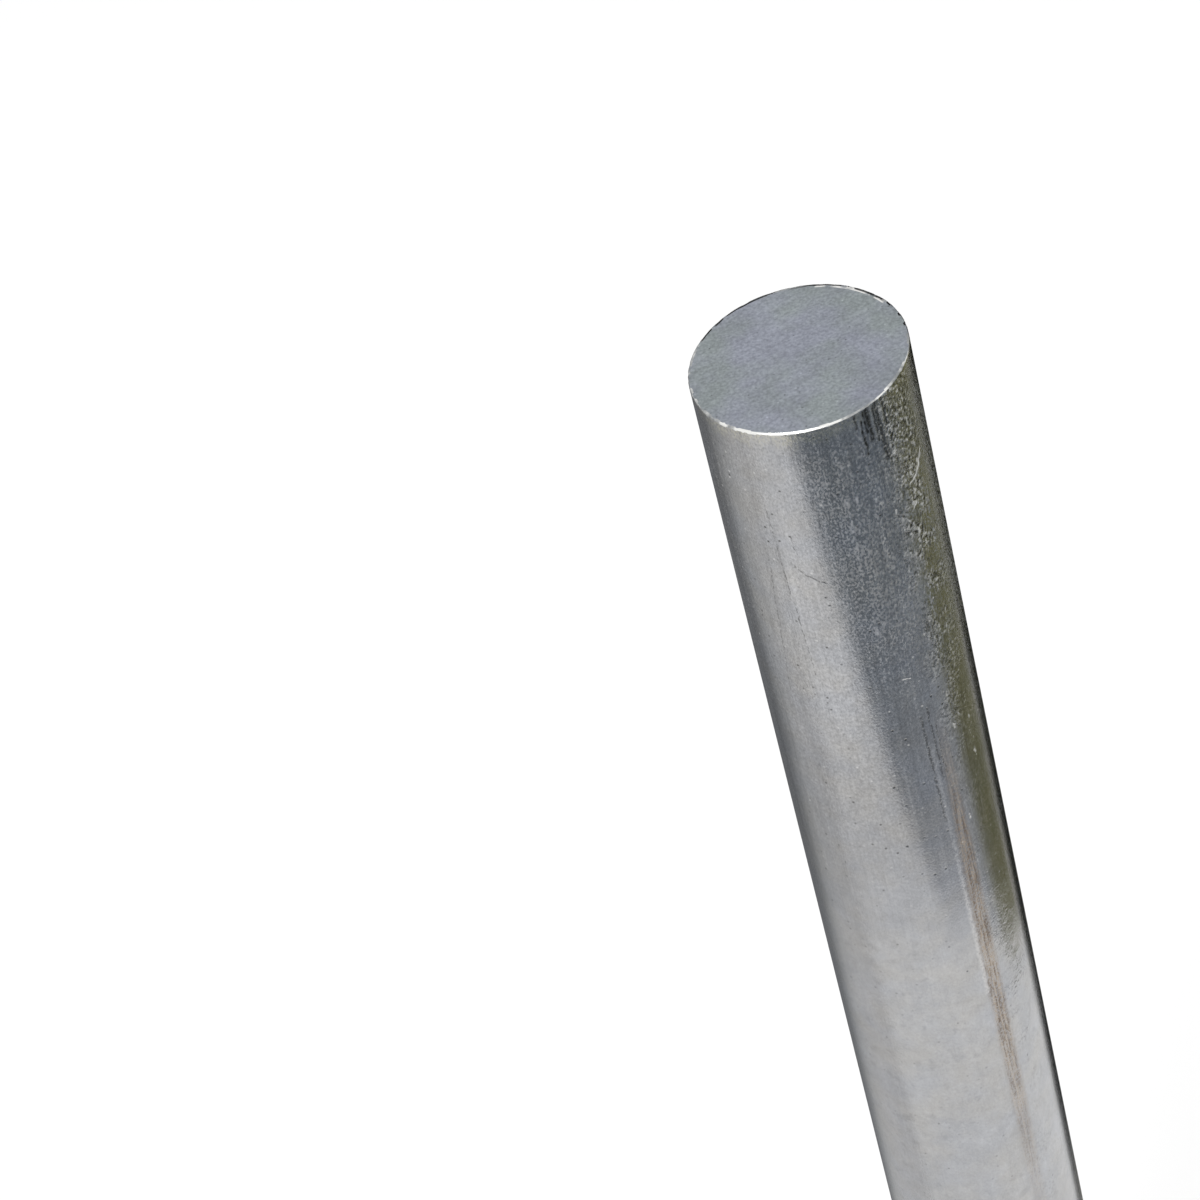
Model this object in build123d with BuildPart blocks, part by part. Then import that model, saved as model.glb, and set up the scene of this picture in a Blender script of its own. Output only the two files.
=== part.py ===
"""Round aluminium bar: solid extruded stock, sawn square to length at both ends.

The bar stands on its foot end, with its axis along +Z and the centre of the foot at the origin.
All sizes are in millimetres.
"""

import os

from build123d import *

# Driving dimensions
bar_diameter = 25.4  # nominal 1 inch extruded round
bar_length = 304.8  # nominal 12 inch saw length, measured over both end faces
top_edge_break = 0.3  # leg of the 45 degree bevel that the file leaves round the top end
foot_edge_break = 0.3  # the same bevel round the foot end


def sawn_end_edge(bar: BuildPart, end: int) -> ShapeList:
    """The circular edge where the outer surface meets the foot face (end 0) or the top face (end -1)."""
    end_face = bar.faces().filter_by(Axis.Z).sort_by(Axis.Z)[end]
    return end_face.edges().filter_by(GeomType.CIRCLE)


# The bar: one round section run up the full saw length, then the two sawn edges broken.
with BuildPart() as round_bar:
    with BuildSketch(Plane.XY):
        Circle(radius=bar_diameter / 2)
    extrude(amount=bar_length)
    chamfer(sawn_end_edge(round_bar, 0), length=foot_edge_break)
    chamfer(sawn_end_edge(round_bar, -1), length=top_edge_break)

round_bar.part.label = "round_bar"

os.makedirs("parts", exist_ok=True)
export_step(round_bar.part, "parts/round_bar.step")
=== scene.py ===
# A sawn length of solid round aluminium bar, standing on its foot end. Metres, +Z up, in the CAD's frame.
from math import cos, pi, radians, sin

import bmesh
import bpy
from mathutils import Matrix, Vector


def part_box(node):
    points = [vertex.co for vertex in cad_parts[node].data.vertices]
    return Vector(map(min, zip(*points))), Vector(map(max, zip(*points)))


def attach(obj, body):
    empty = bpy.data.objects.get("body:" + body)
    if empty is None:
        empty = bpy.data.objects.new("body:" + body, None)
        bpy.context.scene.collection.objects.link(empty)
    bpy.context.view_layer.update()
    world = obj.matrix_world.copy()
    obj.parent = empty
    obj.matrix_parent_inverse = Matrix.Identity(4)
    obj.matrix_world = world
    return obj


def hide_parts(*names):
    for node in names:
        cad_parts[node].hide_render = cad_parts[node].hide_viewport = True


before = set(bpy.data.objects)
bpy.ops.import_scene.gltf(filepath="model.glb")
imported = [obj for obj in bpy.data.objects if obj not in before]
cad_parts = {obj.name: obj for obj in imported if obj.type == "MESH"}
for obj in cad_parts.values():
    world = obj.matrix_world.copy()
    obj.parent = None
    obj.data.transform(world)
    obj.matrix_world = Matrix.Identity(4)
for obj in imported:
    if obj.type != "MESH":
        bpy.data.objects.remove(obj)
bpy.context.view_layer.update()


# Camera. It stands in front of the bar and above it, nineteen diameters from the middle of the top end,
# and looks down along the bar. It heads a little to the left of the end and leans, so the bar slants.
scene = bpy.context.scene
bar_low, bar_high = (Vector(corner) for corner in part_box("round_bar"))
bar_diameter = bar_high.x - bar_low.x
bar_length = bar_high.z
end_centre = Vector((0, 0, bar_length))
camera_distance = 18.95 * bar_diameter
camera_rise = radians(39.38)
camera_heading = radians(4.44)
camera_pitch = radians(-41.88)
camera_lean = radians(-15.65)
camera_data = bpy.data.cameras.new("camera")
camera_data.sensor_width = 36
camera_data.lens = 128.1
camera = bpy.data.objects.new("camera", camera_data)
scene.collection.objects.link(camera)
camera.matrix_world = (
    Matrix.Translation(end_centre + camera_distance * Vector((0, -cos(camera_rise), sin(camera_rise))))
    @ Matrix.Rotation(camera_heading, 4, "Z")
    @ Matrix.Rotation(pi / 2 + camera_pitch, 4, "X")
    @ Matrix.Rotation(camera_lean, 4, "Z")
)
scene.camera = camera
scene.view_settings.view_transform = "Standard"


# Floor and daylight. A matt white floor in an even white surround, under one large soft lamp that hangs
# over the camera's left shoulder. Eyes and mirrors see the floor lifted to white, with the bar's shadow.
floor_reach = 6.0
floor_lift = 0.16
surround_light = 0.95
lamp_distance = 1.2
lamp_size = 0.5
lamp_power = 6.0
lamp_direction = Vector((-0.35, -0.72, 0.78)).normalized()
plus = {"operation": "ADD"}
times = {"operation": "MULTIPLY"}


def linear(hex_colour):
    """The linear RGBA of an sRGB colour such as "#a0a4a8"."""
    parts = [int(hex_colour[i:i + 2], 16) / 255 for i in (1, 3, 5)]
    return [part / 12.92 if part <= 0.04045 else ((part + 0.055) / 1.055) ** 2.4 for part in parts] + [1.0]


def add(tree, kind, settings=None, links=None):
    """A new node with its settings. An input has a name or number, and takes a value, node or socket."""
    node = tree.nodes.new(kind)
    for name, value in (settings or {}).items():
        setattr(node, name, value)
    for key, value in (links or {}).items():
        socket = next(s for i, s in enumerate(node.inputs) if s.enabled and key in (i, s.name))
        if isinstance(value, bpy.types.Node):
            value = next(output for output in value.outputs if output.enabled)
        if isinstance(value, bpy.types.NodeSocket):
            tree.links.new(value, socket)
        else:
            socket.default_value = value
    return node


def new_material(name):
    """An empty material and its node tree."""
    material = bpy.data.materials.new(name)
    material.use_nodes = True
    material.node_tree.nodes.clear()
    return material, material.node_tree


def new_object(name, draw):
    """An object at the origin with the mesh that draw makes in a bmesh."""
    mesh = bpy.data.meshes.new(name)
    drawing = bmesh.new()
    draw(drawing)
    drawing.to_mesh(mesh)
    drawing.free()
    made = bpy.data.objects.new(name, mesh)
    scene.collection.objects.link(made)
    return made


# Matt white paint: flat and even. Its glow shows only to eyes and in reflections, and lights nothing.
floor = new_object("floor", lambda drawing: bmesh.ops.create_grid(drawing, size=floor_reach))
floor_paint, tree = new_material("matt white floor paint")
path = add(tree, "ShaderNodeLightPath").outputs
seen = add(tree, "ShaderNodeMath", plus, {0: path["Is Camera Ray"], 1: path["Is Glossy Ray"]})
seen = add(tree, "ShaderNodeMath", plus, {0: seen, 1: path["Is Transmission Ray"]})
lift = add(tree, "ShaderNodeMath", times, {0: seen, 1: floor_lift})
matt = add(tree, "ShaderNodeBsdfDiffuse", links={"Color": linear("#e6e6e6")})
glow = add(tree, "ShaderNodeEmission", links={"Color": linear("#ffffff"), "Strength": lift})
painted = add(tree, "ShaderNodeAddShader", links={0: matt, 1: glow})
add(tree, "ShaderNodeOutputMaterial", links={"Surface": painted})
floor.data.materials.append(floor_paint)

surround = bpy.data.worlds.new("even white surround")
surround.use_nodes = True
surround.node_tree.nodes["Background"].inputs["Color"].default_value = linear("#ffffff")
surround.node_tree.nodes["Background"].inputs["Strength"].default_value = surround_light
scene.world = surround

lamp_data = bpy.data.lights.new("soft_lamp", "AREA")
lamp_data.size = lamp_size
lamp_data.energy = lamp_power
lamp = bpy.data.objects.new("soft_lamp", lamp_data)
scene.collection.objects.link(lamp)
lamp.matrix_world = (
    Matrix.Translation(end_centre + lamp_direction * lamp_distance)
    @ lamp_direction.to_track_quat("Z", "Y").to_matrix().to_4x4()
)


# Grey cards. Round metal in an even white surround shows no shape, so bent studio cards stand on the floor
# round the bar, where its reflections alone show them: slate and olive to the right, greys to the left.
card_height = 0.31
card_bends = 24
fan_end = -66
fan_distance = 0.099
fan_step = 0.001
tinted = {"data_type": "RGBA"}


def stand_card(name, start, end, distance, foot_colour, head_colour,
               blend=(0.0, 0.1), slant=0.0, upright_from=0.12):
    """A card bent round the bar from one azimuth to another, in degrees to the right of the camera's side.

    Its colour turns from the foot's to the head's between the two heights of blend. Slant moves the foot of
    its first edge that many degrees to the right, and the edge stands upright above upright_from.
    """
    def draw(drawing):
        rows = []
        for height, first in ((0.0, start + slant), (upright_from, start), (card_height, start)):
            turns = [radians(first + (end - first) * i / card_bends) for i in range(card_bends + 1)]
            corners = [(distance * sin(turn), -distance * cos(turn), height) for turn in turns]
            rows.append([drawing.verts.new(corner) for corner in corners])
        for lower, upper in zip(rows, rows[1:]):
            for i in range(card_bends):
                drawing.faces.new((lower[i], lower[i + 1], upper[i + 1], upper[i]))

    card = new_object(name, draw)
    # Studio board: it shows as an even glow of its own colour, and only in reflections.
    board, tree = new_material(name + " board")
    place = add(tree, "ShaderNodeTexCoord").outputs["Object"]
    height = add(tree, "ShaderNodeSeparateXYZ", links={0: place}).outputs["Z"]
    share = add(tree, "ShaderNodeMapRange", links={
        "Value": height, "From Min": blend[0], "From Max": blend[1]})
    colour = add(tree, "ShaderNodeMix", tinted, {
        "Factor": share, "A": linear(foot_colour), "B": linear(head_colour)})
    shine = add(tree, "ShaderNodeEmission", links={"Color": colour})
    add(tree, "ShaderNodeOutputMaterial", links={"Surface": shine})
    card.data.materials.append(board)
    for ray in ("camera", "diffuse", "transmission", "volume_scatter", "shadow"):
        setattr(card, "visible_" + ray, False)


stand_card("slate_card", -25.5, 105, 0.225, "#bfc4cc", "#848c94", blend=(0.03, 0.092), slant=55)
stand_card("side_card", 68, 105, 0.208, "#c4c7cb", "#848c94", blend=(0.05, 0.11))
stand_card("olive_card", 80, 130, 0.20, "#7c7a5c", "#878668", slant=10)
stand_card("edge_card", 130, 184, 0.10, "#a0a09c", "#050504", blend=(0.0, 0.06))
stand_card("dusk_card", -186, -158, 0.10, "#505357", "#505357")
stand_card("grey_card", -158, fan_end, 0.10, "#747679", "#747679", slant=-35, upright_from=0.16)
# A fan of ever paler cards stands before the grey one, each a little nearer to the bar than the last.
fan = (
    (-130, "#828487"),
    (-123, "#96989a"),
    (-117, "#afb1b2"),
    (-111, "#c8c9ca"),
    (-105, "#d8d9d9"),
    (-96, "#e4e4e4"),
    (-85, "#efefef"),
)
for i, (start, tint) in enumerate(fan):
    distance = fan_distance - fan_step * i
    stand_card(f"pale_card_{i + 1}", start, fan_end, distance, tint, tint, slant=-35, upright_from=0.16)


# The bar. One length of solid round aluminium, extruded through a die, pulled straight and sawn to length.
# The die draws fine lines along it, the saw leaves its marks across the ends, and a file breaks the edges.
MM = 0.001
bar_radius = bar_diameter / 2
edge_break = 0.3 * MM
saw_way = radians(26)
steps_around = 576
foot_rings, edge_rings, side_rings, top_rings = 6, 4, 76, 68
minus = {"operation": "SUBTRACT"}
times_plus = {"operation": "MULTIPLY_ADD"}
most = {"operation": "MAXIMUM"}
shaded = {"data_type": "RGBA", "blend_type": "MULTIPLY"}
over = {"operation": "DIVIDE"}
scaled = {"operation": "SCALE"}
smooth = {"interpolation_type": "SMOOTHSTEP"}
open_ended = {"clamp": False}


def spread(first, last, count, gather=1):
    """Count values from first to last, first left out. With gather over 1 they crowd towards last."""
    return [last - (last - first) * (1 - (i + 1) / count) ** gather for i in range(count)]


def half_section(drawing):
    """The bar's outline, from the middle of its foot out, up its side and back in over its top end."""
    flat_radius = bar_radius - edge_break
    side_top = bar_length - edge_break
    rings = [(0.0, 0.0)]
    rings += [(radius, 0.0) for radius in spread(0.0, flat_radius, foot_rings)]
    rings += [(radius, radius - flat_radius) for radius in spread(flat_radius, bar_radius, edge_rings)]
    rings += [(bar_radius, height) for height in spread(edge_break, side_top, side_rings, gather=2)]
    rings += [
        (radius, bar_length - (radius - flat_radius))
        for radius in spread(bar_radius, flat_radius, edge_rings)
    ]
    rings += [(radius, bar_length) for radius in spread(flat_radius, 0.0, top_rings)]
    points = [drawing.verts.new((radius, 0.0, height)) for radius, height in rings]
    for lower, upper in zip(points, points[1:]):
        drawing.edges.new((lower, upper))


def way_round(tree, place):
    """How far round the bar a spot lies from the front, in millimetres, to the right."""
    axes = add(tree, "ShaderNodeSeparateXYZ", links={0: place})
    front = add(tree, "ShaderNodeMath", times, {0: axes.outputs["Y"], 1: -1.0})
    turn = add(tree, "ShaderNodeMath", {"operation": "ARCTAN2"}, {0: axes.outputs["X"], 1: front})
    return add(tree, "ShaderNodeMath", times, {0: turn, 1: bar_radius / MM})


def strokes(tree, skin, marks):
    """How deep a spot on the rolled-out skin lies in the nearest mark, from 0 to 1.

    A mark says where it runs from and to, as arc and drop, and half its width, in millimetres.
    """
    depth = None
    for start, end, half_width in marks:
        start, run = Vector((*start, 0)), Vector((end[0] - start[0], end[1] - start[1], 0))
        from_start = add(tree, "ShaderNodeVectorMath", minus, {0: skin, 1: start})
        share = add(tree, "ShaderNodeVectorMath", {"operation": "DOT_PRODUCT"}, {
            0: from_start, 1: run / run.length_squared})
        share = add(tree, "ShaderNodeClamp", links={"Value": share.outputs["Value"]})
        nearest = add(tree, "ShaderNodeVectorMath", scaled, {0: run, "Scale": share})
        apart = add(tree, "ShaderNodeVectorMath", {"operation": "DISTANCE"}, {0: from_start, 1: nearest})
        groove = add(tree, "ShaderNodeMapRange", smooth, {
            "Value": apart.outputs["Value"], "From Max": 2 * half_width, "To Min": 1.0, "To Max": 0.0})
        if depth:
            groove = add(tree, "ShaderNodeMath", most, {0: depth, 1: groove})
        depth = groove
    return depth


# Mill finish aluminium: the dull grey skin that the extrusion die leaves and the air oxidises. It looks
# silky and finely grained, with faint streaks drawn along it, freckles and pits, and the nicks, scratches
# and stain of a bar that was kept in a rack.
cloud_size = 5 * MM
mottle_size = 1.8 * MM
streak_width, streak_stretch = 0.8 * MM, 30
die_line_width, die_line_stretch = 0.22 * MM, 50
speckle_size = 0.45 * MM
grain_size, grain_stretch = 0.24 * MM, 1.6
freckle_spacing = 1.3 * MM
score_width, score_stretch = 0.5 * MM, 60
knock_size = 3.2 * MM
stain_line_width, stain_line_stretch = 0.3 * MM, 18
darkest_drop = 69.0
mill_finish, tree = new_material("mill finish aluminium")
place = add(tree, "ShaderNodeTexCoord").outputs["Object"]
arc = way_round(tree, place)
height = add(tree, "ShaderNodeSeparateXYZ", links={0: place}).outputs["Z"]
drop = add(tree, "ShaderNodeMath", minus, {0: bar_length, 1: height})
drop = add(tree, "ShaderNodeMath", over, {0: drop, 1: MM})
# The skin rolled out flat, in millimetres: to the right from the front, and down from the top end.
skin = add(tree, "ShaderNodeCombineXYZ", links={0: arc, 1: drop})

# Tone: warm and cool clouds, a finer mottle, and the faint streaks and lines of the die, plainest on the
# scuffed right. The skin is drawn darker from three to seven centimetres down from the top end, and a
# little darker within a centimetre of the top. Further down it is painted paler, more so to the right,
# as a painted reflection of the bright floor, with soft smudges.
cloud = add(tree, "ShaderNodeTexNoise", links={"Vector": place, "Scale": 1 / cloud_size, "Detail": 3.0})
clouds = add(tree, "ShaderNodeSeparateColor", links={0: cloud.outputs["Color"]}).outputs
cloud_mix = add(tree, "ShaderNodeMapRange", links={
    "Value": clouds["Red"], "From Min": 0.35, "From Max": 0.65})
cloud_shade = add(tree, "ShaderNodeMapRange", links={
    "Value": clouds["Green"], "From Min": 0.35, "From Max": 0.65, "To Min": 0.96, "To Max": 1.035})
colour = add(tree, "ShaderNodeMix", tinted, {
    "Factor": cloud_mix, "A": linear("#b2b1b0"), "B": linear("#afb0b3")})
mottle = add(tree, "ShaderNodeTexNoise", links={"Vector": place, "Scale": 1 / mottle_size, "Detail": 2.0})
mottle_shade = add(tree, "ShaderNodeMapRange", links={
    "Value": mottle, "From Min": 0.3, "From Max": 0.7, "To Min": 0.95, "To Max": 1.04})

grain_strength = add(tree, "ShaderNodeMapRange", links={
    "Value": drop, "From Min": 30.0, "From Max": 85.0, "To Min": 1.0, "To Max": 0.25})
scuffed = add(tree, "ShaderNodeMapRange", smooth, {
    "Value": arc, "From Min": -9.0, "From Max": 11.5, "To Min": 1.45, "To Max": 2.3})
streak_place = add(tree, "ShaderNodeVectorMath", times, {0: place, 1: (1, 1, 1 / streak_stretch)})
streak = add(tree, "ShaderNodeTexNoise", links={
    "Vector": streak_place, "Scale": 1 / streak_width, "Detail": 4.0, "Roughness": 0.65})
streak_shade = add(tree, "ShaderNodeMapRange", open_ended, {
    "Value": streak, "From Min": 0.3, "From Max": 0.7, "To Min": -0.05, "To Max": 0.045})
line_place = add(tree, "ShaderNodeVectorMath", times, {0: place, 1: (1, 1, 1 / die_line_stretch)})
line = add(tree, "ShaderNodeTexNoise", links={
    "Vector": line_place, "Scale": 1 / die_line_width, "Detail": 2.0})
line_shade = add(tree, "ShaderNodeMapRange", open_ended, {
    "Value": line, "From Min": 0.3, "From Max": 0.7, "To Min": -0.045, "To Max": 0.045})
streak_foot = add(tree, "ShaderNodeMapRange", smooth, {
    "Value": drop, "From Min": 62.0, "From Max": 105.0, "To Min": 1.0, "To Max": 0.33})
streak_shade = add(tree, "ShaderNodeMath", times_plus, {0: line_shade, 1: grain_strength, 2: streak_shade})
streak_shade = add(tree, "ShaderNodeMath", times, {0: streak_shade, 1: streak_foot})
streak_shade = add(tree, "ShaderNodeMath", times_plus, {0: streak_shade, 1: scuffed, 2: 1.0})

darker_down = add(tree, "ShaderNodeMapRange", smooth, {
    "Value": drop, "From Min": 30.0, "From Max": darkest_drop, "To Min": 0.86, "To Max": 0.765})
below = add(tree, "ShaderNodeMapRange", smooth, {"Value": drop, "From Min": darkest_drop, "From Max": 92.0})
# Painted reflection of the bright floor: the lower skin is lifted paler, more to the right.
painted_floor_reflection = add(tree, "ShaderNodeMapRange", smooth, {
    "Value": arc, "From Min": -4.0, "From Max": 5.0, "To Min": 0.13, "To Max": 0.2})
top_shade = add(tree, "ShaderNodeMapRange", smooth, {
    "Value": drop, "From Max": 12.0, "To Min": -0.05, "To Max": 0.0})
smudges = add(tree, "ShaderNodeSeparateColor", links={0: mottle.outputs["Color"]}).outputs
smudge_shade = add(tree, "ShaderNodeMapRange", links={
    "Value": smudges["Blue"], "From Min": 0.58, "From Max": 0.7, "To Min": 0.0, "To Max": -0.1})
height_tone_and_reflection = add(tree, "ShaderNodeMath", times_plus, {0: below, 1: painted_floor_reflection, 2: darker_down})
height_tone_and_reflection = add(tree, "ShaderNodeMath", plus, {0: height_tone_and_reflection, 1: top_shade})
height_tone_and_reflection = add(tree, "ShaderNodeMath", times_plus, {0: smudge_shade, 1: below, 2: height_tone_and_reflection})

speckle = add(tree, "ShaderNodeTexNoise", links={"Vector": place, "Scale": 1 / speckle_size, "Detail": 2.0})
speckle_shade = add(tree, "ShaderNodeMapRange", open_ended, {
    "Value": speckle, "From Min": 0.3, "From Max": 0.7, "To Min": -0.11, "To Max": 0.09})
speckle_top = add(tree, "ShaderNodeMapRange", smooth, {"Value": drop, "From Min": 22.0, "From Max": 42.0})
speckle_foot = add(tree, "ShaderNodeMapRange", smooth, {
    "Value": drop, "From Min": 56.0, "From Max": 80.0, "To Min": 1.0, "To Max": 0.3})
speckle_right = add(tree, "ShaderNodeMapRange", smooth, {
    "Value": arc, "From Min": 0.0, "From Max": 5.0, "To Min": 1.0, "To Max": 0.4})
for limit in (speckle_top, speckle_foot, speckle_right):
    speckle_shade = add(tree, "ShaderNodeMath", times, {0: speckle_shade, 1: limit})
speckle_shade = add(tree, "ShaderNodeMath", plus, {0: speckle_shade, 1: 1.0})

# Grain: the crystals of the metal, drawn about twice as coarse as they are so that they show, and plainest
# near the sawn end and on the scuffed right. Some are dark, and some are open: those scatter light and lift
# the dark zones.
open_lift, open_slope = 0.48, -0.07
grain_place = add(tree, "ShaderNodeVectorMath", times, {0: place, 1: (1, 1, 1 / grain_stretch)})
grain = add(tree, "ShaderNodeTexNoise", links={
    "Vector": grain_place, "Scale": 1 / grain_size, "Detail": 1.0})
grains = add(tree, "ShaderNodeSeparateColor", links={0: grain.outputs["Color"]}).outputs
grain_shade = add(tree, "ShaderNodeMapRange", open_ended, {
    "Value": grains["Red"], "From Min": 0.3, "From Max": 0.7, "To Min": -0.10, "To Max": 0.10})
grain_shade = add(tree, "ShaderNodeMath", times, {0: grain_shade, 1: scuffed})
open_grain = add(tree, "ShaderNodeMapRange", links={
    "Value": grains["Green"], "From Min": 0.44, "From Max": 0.7})
open_right = add(tree, "ShaderNodeMapRange", links={
    "Value": arc, "From Min": 7.0, "From Max": 11.0, "To Min": 1.0, "To Max": 0.65})
open_foot = add(tree, "ShaderNodeMapRange", links={
    "Value": drop, "From Min": 32.0, "From Max": 47.0, "To Min": 1.0, "To Max": 0.3})
# Towards the left the grain closes along a line that slants to the right on its way down.
slant_line = add(tree, "ShaderNodeMath", times_plus, {0: drop, 1: open_slope, 2: arc})
open_left = add(tree, "ShaderNodeMapRange", smooth, {
    "Value": slant_line, "From Min": -5.0, "From Max": 2.5, "To Min": 0.2, "To Max": 1.0})
open_top = add(tree, "ShaderNodeMapRange", links={
    "Value": drop, "From Min": 2.0, "From Max": 8.0, "To Min": 0.4, "To Max": 1.0})
open_streak = add(tree, "ShaderNodeMapRange", links={
    "Value": streak, "From Min": 0.35, "From Max": 0.65, "To Min": 0.55, "To Max": 1.55})
for limit in (open_right, open_foot, open_left, open_top, open_streak):
    open_grain = add(tree, "ShaderNodeMath", times, {0: open_grain, 1: limit})
grain_shade = add(tree, "ShaderNodeMath", times_plus, {0: open_grain, 1: open_lift, 2: grain_shade})
grain_shade = add(tree, "ShaderNodeMath", times_plus, {0: grain_shade, 1: grain_strength, 2: 1.0})
open_grain = add(tree, "ShaderNodeMath", times, {0: open_grain, 1: grain_strength})
for shade in (cloud_shade, mottle_shade, streak_shade, height_tone_and_reflection, grain_shade, speckle_shade):
    colour = add(tree, "ShaderNodeMix", shaded, {"Factor": 1.0, "A": colour, "B": shade})

# Wear under the rim: a cream speckled strip, two millimetres deep, where the blade's chips rubbed.
wear_raggedness = 4.0
rim_wear = add(tree, "ShaderNodeMath", times_plus, {0: mottle, 1: wear_raggedness, 2: drop})
rim_wear = add(tree, "ShaderNodeMapRange", links={
    "Value": rim_wear, "From Min": 3.0, "From Max": 4.6, "To Min": 0.6, "To Max": 0.0})
rim_grain = add(tree, "ShaderNodeMapRange", links={
    "Value": grains["Blue"], "From Min": 0.35, "From Max": 0.6})
rim_wear = add(tree, "ShaderNodeMath", times, {0: rim_wear, 1: rim_grain})
colour = add(tree, "ShaderNodeMix", tinted, {"Factor": rim_wear, "A": colour, "B": linear("#c2bfb0")})

# Freckles: dark pits of trapped dirt, up to 0.4 mm across, of uneven strength. A few are bright spots of
# bare metal with painted glints, plainest near the top end.
freckle = add(tree, "ShaderNodeTexVoronoi", links={"Vector": place, "Scale": 1 / freckle_spacing})
freckle_kind = add(tree, "ShaderNodeSeparateColor", links={0: freckle.outputs["Color"]})
freckle_spot = add(tree, "ShaderNodeMapRange", smooth, {
    "Value": freckle.outputs["Distance"], "From Min": 0.05, "From Max": 0.18, "To Min": 1.0, "To Max": 0.0})
# Painted glints: these spots are lifted bright in the colour, as light caught by bare metal.
painted_glint_share = add(tree, "ShaderNodeMapRange", links={
    "Value": freckle_kind, "From Min": 0.05, "From Max": 0.35, "To Min": 0.5, "To Max": 0.0})
painted_glint = add(tree, "ShaderNodeMath", times, {0: freckle_spot, 1: painted_glint_share})
painted_glint = add(tree, "ShaderNodeMath", times, {0: painted_glint, 1: grain_strength})
pit_share = add(tree, "ShaderNodeMapRange", links={
    "Value": freckle_kind, "From Min": 0.42, "From Max": 0.92, "To Min": 0.0, "To Max": 0.8})
pit_foot = add(tree, "ShaderNodeMapRange", links={
    "Value": drop, "From Min": 60.0, "From Max": 90.0, "To Min": 1.0, "To Max": 0.5})
pit = freckle_spot
for limit in (pit_share, pit_foot):
    pit = add(tree, "ShaderNodeMath", times, {0: pit, 1: limit})

# Score lines: thin dark lines that grit in the die drew, a few centimetres long.
score_place = add(tree, "ShaderNodeVectorMath", times, {0: place, 1: (1, 1, 1 / score_stretch)})
score = add(tree, "ShaderNodeTexNoise", links={
    "Vector": score_place, "Scale": 1 / score_width, "Detail": 1.0})
score = add(tree, "ShaderNodeMapRange", links={
    "Value": score, "From Min": 0.68, "From Max": 0.76, "To Max": 0.18})
score = add(tree, "ShaderNodeMath", times, {0: score, 1: grain_strength})

# Flecks: clusters of bright and dark specks where the bar was knocked and dragged, thick near the top end
# on the right and faint further down.
cluster = add(tree, "ShaderNodeTexNoise", links={"Vector": place, "Scale": 1 / knock_size, "Detail": 1.0})
cluster = add(tree, "ShaderNodeMapRange", links={"Value": cluster, "From Min": 0.4, "From Max": 0.56})
fleck_top = add(tree, "ShaderNodeMapRange", links={
    "Value": drop, "From Min": 8.0, "From Max": 16.0, "To Min": 0.9, "To Max": 0.0})
cluster = add(tree, "ShaderNodeMath", most, {0: cluster, 1: fleck_top})
fleck_left = add(tree, "ShaderNodeMapRange", links={"Value": arc, "From Min": 6.0, "From Max": 9.0})
fleck_right = add(tree, "ShaderNodeMapRange", links={
    "Value": arc, "From Min": 12.5, "From Max": 14.5, "To Min": 1.0, "To Max": 0.2})
fleck_foot = add(tree, "ShaderNodeMapRange", links={
    "Value": drop, "From Min": 22.0, "From Max": 62.0, "To Min": 1.0, "To Max": 0.15})
for limit in (fleck_left, fleck_right, fleck_foot):
    cluster = add(tree, "ShaderNodeMath", times, {0: cluster, 1: limit})
bright_fleck = add(tree, "ShaderNodeMapRange", links={
    "Value": speckle, "From Min": 0.52, "From Max": 0.66, "To Max": 0.6})
bright_fleck = add(tree, "ShaderNodeMath", times, {0: bright_fleck, 1: cluster})
dark_fleck = add(tree, "ShaderNodeMapRange", links={
    "Value": speckle, "From Min": 0.36, "From Max": 0.48, "To Min": 0.9, "To Max": 0.0})
dark_fleck = add(tree, "ShaderNodeMath", times, {0: dark_fleck, 1: cluster})

# Marks placed one by one. Lines that chips dragged down from the rim and lines of dirt are dark. Nicks and
# scratches through the oxide are bright, and so are lines of clean metal, between the drag lines and beside
# the stain. Waver bends them all a little, and the grain breaks them up.
drag_lines = (
    ((7.5, 0.0), (7.9, 8.6), 0.25),
    ((7.1, 0.3), (7.2, 5.4), 0.16),
    ((6.2, 0.0), (6.4, 4.6), 0.3),
    ((5.3, 1.4), (5.5, 6.3), 0.15),
    ((5.8, 0.0), (5.9, 3.4), 0.15),
    ((8.5, 0.0), (8.6, 3.8), 0.17),
    ((8.2, 5.0), (8.3, 9.5), 0.12),
    ((4.6, 0.0), (4.7, 2.2), 0.14),
)
dirt_lines = (
    ((-6.2, 20.0), (-4.6, 21.8), 0.10),
    ((-4.6, 21.8), (-2.6, 23.1), 0.10),
    ((-9.0, 20.0), (-10.6, 42.0), 0.06),
    ((4.9, 48.0), (5.3, 66.0), 0.17),
    ((5.9, 47.0), (6.2, 59.0), 0.12),
    ((6.6, 50.0), (6.8, 60.0), 0.08),
    ((-5.6, 15.5), (-5.2, 18.5), 0.06),
    ((-7.7, 12.4), (-7.2, 25.0), 0.09),
    ((-6.9, 27.0), (-6.4, 38.0), 0.06),
)
clean_lines = (
    ((5.5, 54.0), (5.95, 98.0), 0.24),
    ((6.8, 0.4), (6.85, 4.6), 0.18),
    ((8.1, 0.6), (8.3, 6.4), 0.18),
    ((5.0, 1.0), (5.1, 5.0), 0.13),
)
scratches = (
    ((13.6, 12.0), (12.6, 13.3), 0.14),
    ((12.6, 13.3), (11.1, 14.4), 0.17),
    ((11.1, 14.4), (10.3, 14.5), 0.10),
    ((10.8, 17.6), (9.9, 18.2), 0.12),
)
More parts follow.
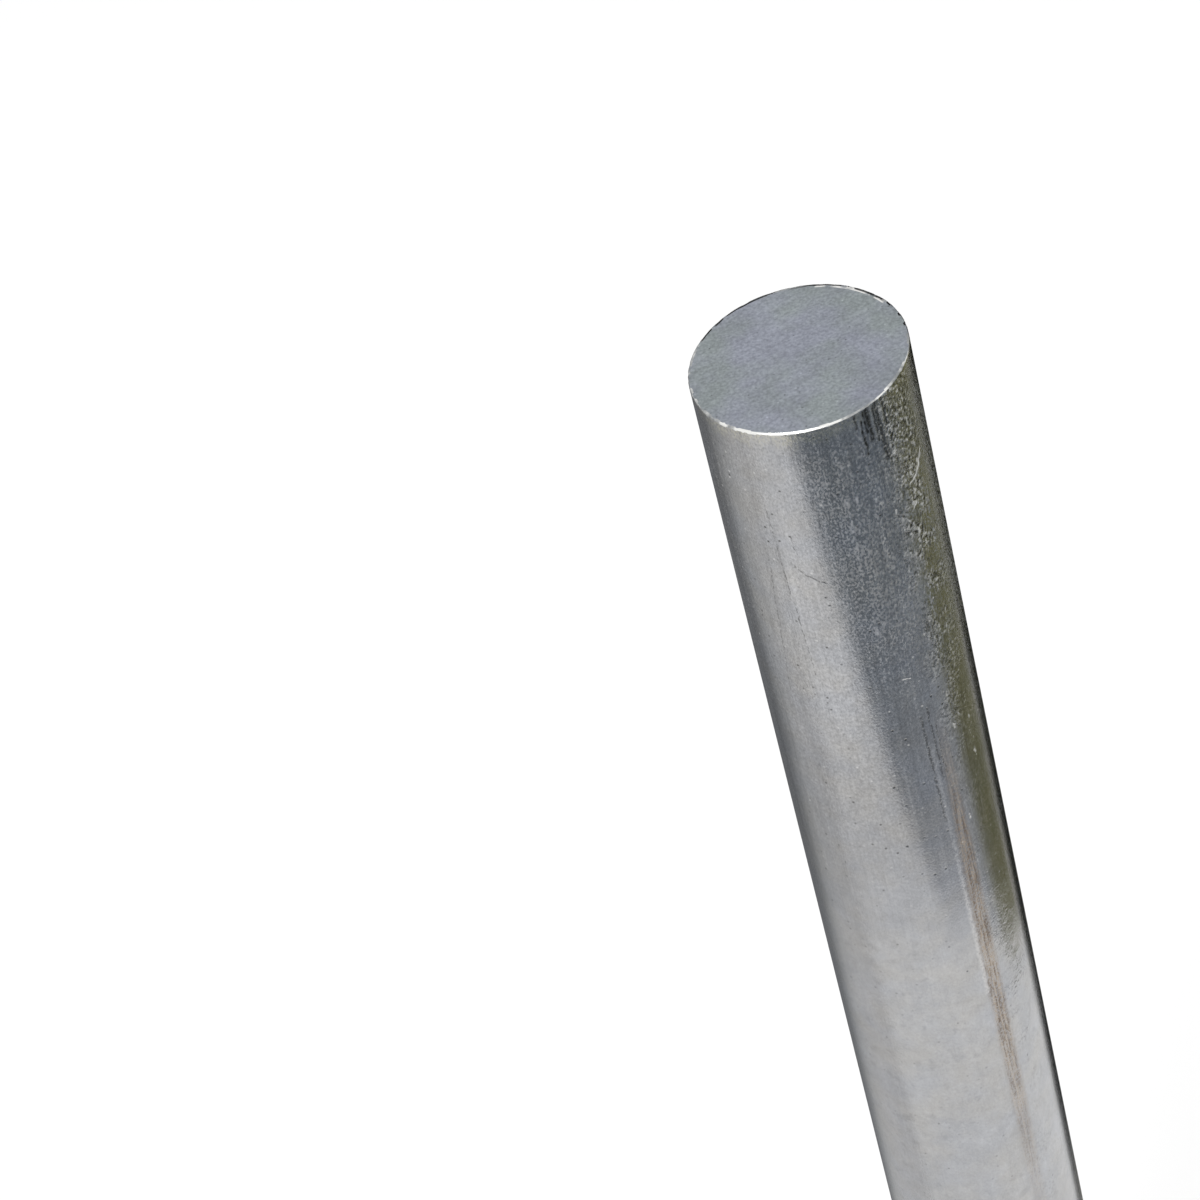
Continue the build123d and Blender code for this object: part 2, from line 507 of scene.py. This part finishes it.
nicks = (
    ((9.5, 13.3), (9.7, 13.3), 0.16),
    ((9.6, 7.4), (9.6, 7.6), 0.15),
    ((5.7, 14.0), (5.9, 14.1), 0.15),
    ((8.4, 12.4), (8.5, 12.4), 0.11),
    ((7.4, 16.2), (7.4, 16.6), 0.12),
    ((10.1, 21.0), (10.1, 21.4), 0.12),
    ((10.0, 22.7), (10.1, 23.2), 0.15),
    ((3.8, 40.9), (4.6, 41.2), 0.07),
    ((8.9, 34.6), (8.9, 35.0), 0.14),
    ((7.6, 36.1), (7.7, 36.3), 0.12),
    ((9.1, 47.0), (9.2, 47.6), 0.13),
    ((9.3, 52.4), (9.4, 53.2), 0.16),
    ((10.4, 51.6), (10.5, 52.0), 0.12),
    ((12.2, 53.6), (12.3, 54.0), 0.15),
    ((12.2, 59.4), (12.3, 59.9), 0.17),
    ((8.8, 67.7), (8.8, 68.4), 0.12),
)
waver_per_mm, waver_reach = 0.9, 0.6
dirt_strength, clean_strength, scratch_strength = 0.6, 0.5, 0.85
waver = add(tree, "ShaderNodeTexNoise", links={"Vector": skin, "Scale": waver_per_mm, "Detail": 2.0})
waver = add(tree, "ShaderNodeVectorMath", minus, {0: waver.outputs["Color"], 1: (0.5, 0.5, 0.5)})
waver = add(tree, "ShaderNodeVectorMath", scaled, {0: waver, "Scale": waver_reach})
worn_skin = add(tree, "ShaderNodeVectorMath", plus, {0: skin, 1: waver})
broken_drag = add(tree, "ShaderNodeMapRange", links={
    "Value": speckle, "From Min": 0.36, "From Max": 0.5, "To Min": 0.4})
drag_line = add(tree, "ShaderNodeMath", times, {0: strokes(tree, worn_skin, drag_lines), 1: broken_drag})
broken_line = add(tree, "ShaderNodeMapRange", links={
    "Value": grains["Blue"], "From Min": 0.36, "From Max": 0.52, "To Min": 0.12})
dirt_line = add(tree, "ShaderNodeMath", times, {0: strokes(tree, worn_skin, dirt_lines), 1: broken_line})
dirt_line = add(tree, "ShaderNodeMath", times, {0: dirt_line, 1: dirt_strength})
clean_line = add(tree, "ShaderNodeMath", times, {0: strokes(tree, worn_skin, clean_lines), 1: broken_line})
clean_line = add(tree, "ShaderNodeMath", times, {0: clean_line, 1: clean_strength})
scratch = strokes(tree, worn_skin, scratches)
scratch = add(tree, "ShaderNodeMath", times, {0: scratch, 1: scratch_strength})
broken_nick = add(tree, "ShaderNodeMapRange", links={
    "Value": grains["Red"], "From Min": 0.38, "From Max": 0.55, "To Min": 0.15, "To Max": 0.6})
nick = add(tree, "ShaderNodeMath", times, {0: strokes(tree, worn_skin, nicks), 1: broken_nick})
dark = pit
for mark in (score, dark_fleck, drag_line, dirt_line):
    dark = add(tree, "ShaderNodeMath", most, {0: dark, 1: mark})
bright = scratch
for mark in (nick, bright_fleck, painted_glint):
    bright = add(tree, "ShaderNodeMath", most, {0: bright, 1: mark})
colour = add(tree, "ShaderNodeMix", tinted, {"Factor": dark, "A": colour, "B": linear("#3a3935")})

# Stain: a grainy pale brown band with rust-brown lines in it, down the right of the front, from a fifth of
# the way down to the middle. It starts narrow, and a line of clean metal runs along its left.
stain_middle = 7.25
stain_core, stain_reach = 0.5, 1.55
stain_near = add(tree, "ShaderNodeSeparateXYZ", links={0: worn_skin}).outputs["X"]
stain_near = add(tree, "ShaderNodeMath", minus, {0: stain_near, 1: stain_middle})
stain_near = add(tree, "ShaderNodeMath", {"operation": "ABSOLUTE"}, {0: stain_near})
stain_taper = add(tree, "ShaderNodeMapRange", links={
    "Value": drop, "From Min": 52.0, "From Max": 76.0, "To Min": 1.5, "To Max": 1.0})
stain_near = add(tree, "ShaderNodeMath", times, {0: stain_near, 1: stain_taper})
stain = add(tree, "ShaderNodeMapRange", smooth, {
    "Value": stain_near, "From Min": stain_core, "From Max": stain_reach, "To Min": 1.0, "To Max": 0.0})
stain_top = add(tree, "ShaderNodeMapRange", links={"Value": drop, "From Min": 48.0, "From Max": 68.0})
stain_bottom = add(tree, "ShaderNodeMapRange", links={
    "Value": drop, "From Min": 105.0, "From Max": 150.0, "To Min": 0.95, "To Max": 0.0})
stain_grain = add(tree, "ShaderNodeMapRange", links={
    "Value": grains["Red"], "From Min": 0.38, "From Max": 0.6, "To Min": 0.35, "To Max": 0.95})
for limit in (stain_top, stain_bottom, stain_grain):
    stain = add(tree, "ShaderNodeMath", times, {0: stain, 1: limit})
rust_place = add(tree, "ShaderNodeVectorMath", times, {0: place, 1: (1, 1, 1 / stain_line_stretch)})
rust = add(tree, "ShaderNodeTexNoise", links={
    "Vector": rust_place, "Scale": 1 / stain_line_width, "Detail": 2.0})
rust = add(tree, "ShaderNodeMapRange", links={"Value": rust, "From Min": 0.4, "From Max": 0.58})
stain_tint = add(tree, "ShaderNodeMix", tinted, {
    "Factor": rust, "A": linear("#a09282"), "B": linear("#655341")})
colour = add(tree, "ShaderNodeMix", tinted, {"Factor": stain, "A": colour, "B": stain_tint})
colour = add(tree, "ShaderNodeMix", tinted, {"Factor": clean_line, "A": colour, "B": linear("#d4d2d0")})
colour = add(tree, "ShaderNodeMix", tinted, {"Factor": bright, "A": colour, "B": linear("#f4f3f0")})

# Sheen: satin, duller on open grain and in the nicks, and half matt where it is stained. The die lines
# spread reflections sideways.
open_roughness, nick_roughness = 0.48, 0.4
nick_metal, stain_metal = 0.4, 0.5
sideways_spread = 0.85
roughness = add(tree, "ShaderNodeMapRange", links={
    "Value": streak, "From Min": 0.3, "From Max": 0.7, "To Min": 0.145, "To Max": 0.195})
roughness = add(tree, "ShaderNodeMath", times_plus, {0: open_grain, 1: open_roughness, 2: roughness})
roughness = add(tree, "ShaderNodeMath", times_plus, {0: bright, 1: nick_roughness, 2: roughness})
metallic = add(tree, "ShaderNodeMath", times_plus, {0: bright, 1: nick_metal - 1, 2: 1.0})
metallic = add(tree, "ShaderNodeMath", times_plus, {0: stain, 1: stain_metal - 1, 2: metallic})
around = add(tree, "ShaderNodeTangent", {"direction_type": "RADIAL", "axis": "Z"})

# Relief, in millimetres: die lines and grain stand up, knocked spots are lumpy, and dark and bright marks
# are sunk.
line_rise = 0.003
relief = add(tree, "ShaderNodeMath", times, {0: line, 1: line_rise})
rough_grain = add(tree, "ShaderNodeMath", times, {0: grains["Blue"], 1: grain_strength})
knocked = add(tree, "ShaderNodeMath", times, {0: speckle, 1: cluster})
for mark, rise in ((rough_grain, 0.012), (knocked, 0.09), (dark, -0.02), (bright, -0.02)):
    relief = add(tree, "ShaderNodeMath", times_plus, {0: mark, 1: rise, 2: relief})
bump = add(tree, "ShaderNodeBump", links={"Strength": 1.0, "Distance": MM, "Height": relief})
shader = add(tree, "ShaderNodeBsdfPrincipled", links={
    "Base Color": colour, "Metallic": metallic, "Roughness": roughness, "Anisotropic": sideways_spread,
    "Tangent": around, "Normal": bump})
add(tree, "ShaderNodeOutputMaterial", links={"Surface": shader})

# Sawn aluminium: the end face, cut by a coarse blade. It looks matt, slate blue and grainy, with faint
# hatching in the way of the saw, greener and bluer patches, and burr round its far edge, painted as a
# bright highlight and a dark reflection.
patch_size = 6 * MM
hatch_width, hatch_stretch = 0.7 * MM, 6
speck_size = 0.36 * MM
sawn_pit_spacing = 0.8 * MM
burr_size = 2.2 * MM
burr_softness = 0.05 * MM
burr_gather = 0.32
hatch_rise, speck_rise = 0.006, 0.010
# Each ring of burr, painted as a highlight or a dark reflection: the pattern that breaks it up, how far in
# from the rim it reaches, its colour, and the stretches round the rim where it gathers.
burr_highlight_and_reflection_rings = (
    ("Green", 0.64 * MM, "#f0efec", (((25.0, 0.0), (35.5, 0.0), 1.0),)),
    ("Red", 0.44 * MM, "#17181a", (((23.0, 0.0), (39.9, 0.0), 1.0), ((-39.9, 0.0), (-29.0, 0.0), 1.0))),
)
sawn, tree = new_material("sawn aluminium")
place = add(tree, "ShaderNodeTexCoord").outputs["Object"]
patch = add(tree, "ShaderNodeTexNoise", links={"Vector": place, "Scale": 1 / patch_size, "Detail": 2.0})
patches = add(tree, "ShaderNodeSeparateColor", links={0: patch.outputs["Color"]}).outputs
patch_mix = add(tree, "ShaderNodeMapRange", links={
    "Value": patches["Red"], "From Min": 0.35, "From Max": 0.65})
colour = add(tree, "ShaderNodeMix", tinted, {
    "Factor": patch_mix, "A": linear("#92999b"), "B": linear("#9599a4")})
patch_shade = add(tree, "ShaderNodeMapRange", links={
    "Value": patches["Green"], "From Min": 0.35, "From Max": 0.65, "To Min": 0.95, "To Max": 1.05})
hatch_place = add(tree, "ShaderNodeVectorRotate", {"rotation_type": "Z_AXIS"}, {
    "Vector": place, "Angle": -saw_way})
hatch_place = add(tree, "ShaderNodeVectorMath", times, {0: hatch_place, 1: (1 / hatch_stretch, 1, 1)})
hatch = add(tree, "ShaderNodeTexNoise", links={
    "Vector": hatch_place, "Scale": 1 / hatch_width, "Detail": 3.0, "Roughness": 0.6})
hatch_shade = add(tree, "ShaderNodeMapRange", links={
    "Value": hatch, "From Min": 0.3, "From Max": 0.7, "To Min": 0.915, "To Max": 1.07})
speck = add(tree, "ShaderNodeTexNoise", links={"Vector": place, "Scale": 1 / speck_size, "Detail": 1.0})
speck_shade = add(tree, "ShaderNodeMapRange", links={
    "Value": speck, "From Min": 0.25, "From Max": 0.75, "To Min": 0.8, "To Max": 1.2})
sawn_pit = add(tree, "ShaderNodeTexVoronoi", links={"Vector": place, "Scale": 1 / sawn_pit_spacing})
pit_spot = add(tree, "ShaderNodeMapRange", smooth, {
    "Value": sawn_pit.outputs["Distance"], "From Min": 0.05, "From Max": 0.22, "To Min": 1.0, "To Max": 0.0})
pit_kind = add(tree, "ShaderNodeSeparateColor", links={0: sawn_pit.outputs["Color"]})
pit_kind = add(tree, "ShaderNodeMapRange", links={"Value": pit_kind, "To Min": -0.5, "To Max": 0.4})
pit_shade = add(tree, "ShaderNodeMath", times_plus, {0: pit_spot, 1: pit_kind, 2: 1.0})
for shade in (patch_shade, hatch_shade, speck_shade, pit_shade):
    colour = add(tree, "ShaderNodeMix", shaded, {"Factor": 1.0, "A": colour, "B": shade})

from_axis = add(tree, "ShaderNodeVectorMath", times, {0: place, 1: (1, 1, 0)})
from_axis = add(tree, "ShaderNodeVectorMath", {"operation": "LENGTH"}, {0: from_axis}).outputs["Value"]
rim = add(tree, "ShaderNodeCombineXYZ", links={0: way_round(tree, place)})
burr = add(tree, "ShaderNodeTexNoise", links={"Vector": place, "Scale": 1 / burr_size, "Detail": 3.0})
burrs = add(tree, "ShaderNodeSeparateColor", links={0: burr.outputs["Color"]}).outputs
for band, reach, tint, stretches in burr_highlight_and_reflection_rings:
    ring_start = bar_radius - reach
    ring = add(tree, "ShaderNodeMapRange", links={
        "Value": from_axis, "From Min": ring_start, "From Max": ring_start + burr_softness})
    share = add(tree, "ShaderNodeMath", times_plus, {
        0: strokes(tree, rim, stretches), 1: burr_gather, 2: burrs[band]})
    share = add(tree, "ShaderNodeMapRange", links={
        "Value": share, "From Min": 0.72, "From Max": 0.82, "To Max": 0.9})
    share = add(tree, "ShaderNodeMath", times, {0: share, 1: ring})
    colour = add(tree, "ShaderNodeMix", tinted, {"Factor": share, "A": colour, "B": linear(tint)})
relief = add(tree, "ShaderNodeMath", times, {0: hatch, 1: hatch_rise})
relief = add(tree, "ShaderNodeMath", times_plus, {0: speck, 1: speck_rise, 2: relief})
bump = add(tree, "ShaderNodeBump", links={"Strength": 1.0, "Distance": MM, "Height": relief})
shader = add(tree, "ShaderNodeBsdfPrincipled", links={
    "Base Color": colour, "Metallic": 1.0, "Roughness": 0.45, "Normal": bump})
add(tree, "ShaderNodeOutputMaterial", links={"Surface": shader})

# Filed aluminium: the broken edge. It draws a thin line round the end, grey where the file barely touched
# it and bright where it cut down to new metal. Along the front the bright is also a painted highlight,
# and at the back the line is painted black as a dark reflection.
file_stroke_size = 1.3 * MM
# New metal at the front, painted bright there also as a highlight.
highlight_and_new_metal_stretches = (
    ((-11.6, 0.0), (-10.8, 0.0), 0.25),
    ((-9.4, 0.0), (3.0, 0.0), 0.3),
    ((8.2, 0.0), (9.8, 0.0), 0.4),
)
# Painted dark reflection: stretches at the back painted black.
dark_reflection_stretches = (
    ((20.0, 0.0), (37.0, 0.0), 0.5),
    ((-38.5, 0.0), (-28.0, 0.0), 0.5),
)
filed, tree = new_material("filed aluminium")
place = add(tree, "ShaderNodeTexCoord").outputs["Object"]
rim = add(tree, "ShaderNodeCombineXYZ", links={0: way_round(tree, place)})
stroke = add(tree, "ShaderNodeTexNoise", links={
    "Vector": place, "Scale": 1 / file_stroke_size, "Detail": 3.0})
stroke = add(tree, "ShaderNodeMapRange", links={
    "Value": stroke, "From Min": 0.4, "From Max": 0.68, "To Min": 0.1, "To Max": 0.8})
new_metal_and_highlight = add(tree, "ShaderNodeMath", most, {0: strokes(tree, rim, highlight_and_new_metal_stretches), 1: stroke})
painted_dark_reflection = strokes(tree, rim, dark_reflection_stretches)
colour = add(tree, "ShaderNodeMix", tinted, {
    "Factor": new_metal_and_highlight, "A": linear("#85888b"), "B": linear("#f2f2ef")})
colour = add(tree, "ShaderNodeMix", tinted, {"Factor": painted_dark_reflection, "A": colour, "B": linear("#1f2022")})
shader = add(tree, "ShaderNodeBsdfPrincipled", links={
    "Base Color": colour, "Metallic": 1.0, "Roughness": 0.25})
add(tree, "ShaderNodeOutputMaterial", links={"Surface": shader})

# The relief that the tools left, laid on the turned mesh: die lines down the side, saw marks across both
# ends, and edges that a file broke, more on one side than on the other. It also gives each surface its
# finish.
relief_tree = bpy.data.node_groups.new("die lines, saw marks and file strokes", "GeometryNodeTree")
relief_tree.interface.new_socket("Geometry", in_out="OUTPUT", socket_type="NodeSocketGeometry")
relief_tree.interface.new_socket("Geometry", in_out="INPUT", socket_type="NodeSocketGeometry")
relief_sizes = {
    "Bar length": bar_length,
    "Bar radius": bar_radius,
    "Edge break": edge_break,
    "Widest filed edge": 0.18 * MM,
    "Least filed edge": 0.08 * MM,
    "Out of square": 0.4 * MM,
    "Squaring length": 15 * MM,
    "Filed side": radians(-18),
    "File stroke": 1.4 * MM,
    "File depth": 0.06 * MM,
    "Die line pitch": 0.6 * MM,
    "Die line depth": 0.004 * MM,
    "Saw mark pitch": 0.9 * MM,
    "Saw mark depth": 0.010 * MM,
    "Saw way": saw_way,
    "Seed": 3.0,
}
size_sockets = {
    name: relief_tree.interface.new_socket(name, in_out="INPUT", socket_type="NodeSocketFloat").identifier
    for name in relief_sizes
}
die_relief_stretch, saw_relief_stretch = 150, 20
under = {"operation": "LESS_THAN"}
both = {"operation": "AND"}
given = add(relief_tree, "NodeGroupInput").outputs
place = add(relief_tree, "GeometryNodeInputPosition")
axes = add(relief_tree, "ShaderNodeSeparateXYZ", links={0: place}).outputs
flat_place = add(relief_tree, "ShaderNodeVectorMath", times, {0: place, 1: (1, 1, 0)})
outward = add(relief_tree, "ShaderNodeVectorMath", {"operation": "NORMALIZE"}, {0: flat_place})
radius = add(relief_tree, "ShaderNodeVectorMath", {"operation": "LENGTH"}, {0: flat_place}).outputs["Value"]
to_side = add(relief_tree, "ShaderNodeMath", minus, {0: given["Bar radius"], 1: radius})
mid_height = add(relief_tree, "ShaderNodeMath", times, {0: given["Bar length"], 1: 0.5})
from_middle = add(relief_tree, "ShaderNodeMath", minus, {0: axes["Z"], 1: mid_height})
which_end = add(relief_tree, "ShaderNodeMath", {"operation": "SIGN"}, {0: from_middle})
from_middle = add(relief_tree, "ShaderNodeMath", {"operation": "ABSOLUTE"}, {0: from_middle})
to_end = add(relief_tree, "ShaderNodeMath", minus, {0: mid_height, 1: from_middle})

# A point nearer than a hair to a surface lies on it.
hair = 0.001 * MM
edge_reach = add(relief_tree, "ShaderNodeMath", plus, {0: given["Edge break"], 1: hair})
on_side = add(relief_tree, "FunctionNodeCompare", under, {"A": to_side, "B": hair})
on_end = add(relief_tree, "FunctionNodeCompare", under, {"A": to_end, "B": hair})
near_end = add(relief_tree, "FunctionNodeCompare", under, {"A": to_end, "B": edge_reach})
near_side = add(relief_tree, "FunctionNodeCompare", under, {"A": to_side, "B": edge_reach})
on_edge = add(relief_tree, "FunctionNodeBooleanMath", both, {0: near_end, 1: near_side})
off_edge = add(relief_tree, "FunctionNodeBooleanMath", {"operation": "NOT"}, {0: near_side})
on_face = add(relief_tree, "FunctionNodeBooleanMath", both, {0: near_end, 1: off_edge})
to_both = add(relief_tree, "ShaderNodeMath", times, {0: to_end, 1: to_side})
off_both = add(relief_tree, "FunctionNodeCompare", {"operation": "GREATER_THAN"}, {
    "A": to_both, "B": hair * hair})
on_slope = add(relief_tree, "FunctionNodeBooleanMath", both, {0: on_edge, 1: off_both})

# Which faces are edge and which are end is settled on the plain mesh, before anything moves.
finishes = add(relief_tree, "GeometryNodeCaptureAttribute", {"domain": "FACE"}, {
    "Geometry": given["Geometry"]})
for name, zone in (("edge", on_edge), ("end", on_face)):
    finishes.capture_items.new("BOOLEAN", name)
    relief_tree.links.new(zone.outputs[0], finishes.inputs[name])

die_place = add(relief_tree, "ShaderNodeVectorMath", times, {0: place, 1: (1, 1, 1 / die_relief_stretch)})
die_scale = add(relief_tree, "ShaderNodeMath", over, {0: 1.0, 1: given["Die line pitch"]})
die_lines = add(relief_tree, "ShaderNodeTexNoise", {"noise_dimensions": "4D"}, {
    "Vector": die_place, "W": given["Seed"], "Scale": die_scale, "Detail": 2.0})
die_lines = add(relief_tree, "ShaderNodeMath", minus, {0: die_lines, 1: 0.5})
die_lines = add(relief_tree, "ShaderNodeMath", times, {0: die_lines, 1: given["Die line depth"]})
die_offset = add(relief_tree, "ShaderNodeVectorMath", scaled, {0: outward, "Scale": die_lines})

saw_angle = add(relief_tree, "ShaderNodeMath", times, {0: given["Saw way"], 1: -1.0})
saw_place = add(relief_tree, "ShaderNodeVectorRotate", {"rotation_type": "Z_AXIS"}, {
    "Vector": place, "Angle": saw_angle})
saw_place = add(relief_tree, "ShaderNodeVectorMath", times, {
    0: saw_place, 1: (1 / saw_relief_stretch, 1, 1)})
saw_scale = add(relief_tree, "ShaderNodeMath", over, {0: 1.0, 1: given["Saw mark pitch"]})
saw_marks = add(relief_tree, "ShaderNodeTexNoise", {"noise_dimensions": "4D"}, {
    "Vector": saw_place, "W": given["Seed"], "Scale": saw_scale, "Detail": 2.0})
saw_marks = add(relief_tree, "ShaderNodeMath", minus, {0: saw_marks, 1: 0.5})
saw_marks = add(relief_tree, "ShaderNodeMath", times, {0: saw_marks, 1: given["Saw mark depth"]})
saw_offset = add(relief_tree, "ShaderNodeCombineXYZ", links={"Z": saw_marks})

# The edge is filed widest on one side. All round, its points move back towards the sharp corner, and the
# strokes dent the slope between them. Their pattern hardly ever rises to stroke_crest, so they only dent.
stroke_crest = 0.8
file_angle = add(relief_tree, "ShaderNodeMath", times, {0: given["Filed side"], 1: -1.0})
file_turn = add(relief_tree, "ShaderNodeVectorRotate", {"rotation_type": "Z_AXIS"}, {
    "Vector": outward, "Angle": file_angle})
facing = add(relief_tree, "ShaderNodeSeparateXYZ", links={0: file_turn}).outputs["Y"]
unfiled = add(relief_tree, "ShaderNodeMapRange", smooth, {
    "Value": facing, "From Min": -0.9, "From Max": -0.4})
file_scale = add(relief_tree, "ShaderNodeMath", over, {0: 1.0, 1: given["File stroke"]})
file_marks = add(relief_tree, "ShaderNodeTexNoise", {"noise_dimensions": "4D"}, {
    "Vector": place, "W": given["Seed"], "Scale": file_scale, "Detail": 3.0})
uneven = add(relief_tree, "ShaderNodeMapRange", links={
    "Value": file_marks, "From Min": 0.35, "From Max": 0.65, "To Min": 0.4, "To Max": 1.0})
unfiled = add(relief_tree, "ShaderNodeMath", times, {0: unfiled, 1: uneven})
filed_edge = add(relief_tree, "ShaderNodeMapRange", links={
    "Value": unfiled, "To Min": given["Widest filed edge"], "To Max": given["Least filed edge"]})
left_sharp = add(relief_tree, "ShaderNodeMath", over, {0: filed_edge, 1: given["Edge break"]})
left_sharp = add(relief_tree, "ShaderNodeMath", minus, {0: 1.0, 1: left_sharp})
corner_out = add(relief_tree, "ShaderNodeMath", times, {0: to_side, 1: left_sharp})
corner_out = add(relief_tree, "ShaderNodeVectorMath", scaled, {0: outward, "Scale": corner_out})
corner_up = add(relief_tree, "ShaderNodeMath", times, {0: to_end, 1: left_sharp})
corner_up = add(relief_tree, "ShaderNodeMath", times, {0: corner_up, 1: which_end})
corner_up = add(relief_tree, "ShaderNodeCombineXYZ", links={"Z": corner_up})
corner_offset = add(relief_tree, "ShaderNodeVectorMath", plus, {0: corner_out, 1: corner_up})
dents = add(relief_tree, "ShaderNodeMath", minus, {0: file_marks, 1: stroke_crest})
dents = add(relief_tree, "ShaderNodeMath", times, {0: dents, 1: given["File depth"]})
slope_out = add(relief_tree, "GeometryNodeInputNormal")
dent_offset = add(relief_tree, "ShaderNodeVectorMath", scaled, {0: slope_out, "Scale": dents})

# The top was sawn a little out of square, so it stands higher on the right. The side's last rings stretch.
squaring = add(relief_tree, "ShaderNodeMath", minus, {0: given["Bar length"], 1: given["Squaring length"]})
squaring = add(relief_tree, "ShaderNodeMapRange", links={
    "Value": axes["Z"], "From Min": squaring, "From Max": given["Bar length"]})
slant = add(relief_tree, "ShaderNodeMath", over, {0: axes["X"], 1: given["Bar radius"]})
slant = add(relief_tree, "ShaderNodeMath", times, {0: slant, 1: given["Out of square"]})
slant = add(relief_tree, "ShaderNodeMath", times, {0: slant, 1: squaring})
slant_offset = add(relief_tree, "ShaderNodeCombineXYZ", links={"Z": slant})

body = finishes.outputs["Geometry"]
for zone, offset in (
    (on_side, die_offset),
    (on_end, saw_offset),
    (on_slope, dent_offset),
    (on_edge, corner_offset),
):
    body = add(relief_tree, "GeometryNodeSetPosition", links={
        "Geometry": body, "Selection": zone, "Offset": offset})
body = add(relief_tree, "GeometryNodeSetPosition", links={"Geometry": body, "Offset": slant_offset})
body = add(relief_tree, "GeometryNodeSetShadeSmooth", links={"Geometry": body})
body = add(relief_tree, "GeometryNodeRealizeInstances", links={"Geometry": body})
body = add(relief_tree, "GeometryNodeSetMaterial", links={"Geometry": body, "Material": mill_finish})
for name, finish in (("edge", filed), ("end", sawn)):
    body = add(relief_tree, "GeometryNodeSetMaterial", links={
        "Geometry": body, "Selection": finishes.outputs[name], "Material": finish})
add(relief_tree, "NodeGroupOutput", links={"Geometry": body})

# The outline is turned about the bar's axis, the relief is laid on it, and both are baked into one plain
# mesh.
bar = new_object("sawn_bar", half_section)
lathe = bar.modifiers.new("turned about its axis", "SCREW")
lathe.axis = "Z"
lathe.angle = 2 * pi
lathe.steps = lathe.render_steps = steps_around
lathe.use_merge_vertices = True
lathe.merge_threshold = hair
lathe.use_normal_flip = True
tooling = bar.modifiers.new("die lines, saw marks and file strokes", "NODES")
tooling.node_group = relief_tree
for name, value in relief_sizes.items():
    tooling[size_sockets[name]] = value
finished = bpy.data.meshes.new_from_object(bar.evaluated_get(bpy.context.evaluated_depsgraph_get()))
bar.modifiers.clear()
bar.data = finished
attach(bar, "root")
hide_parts("round_bar")
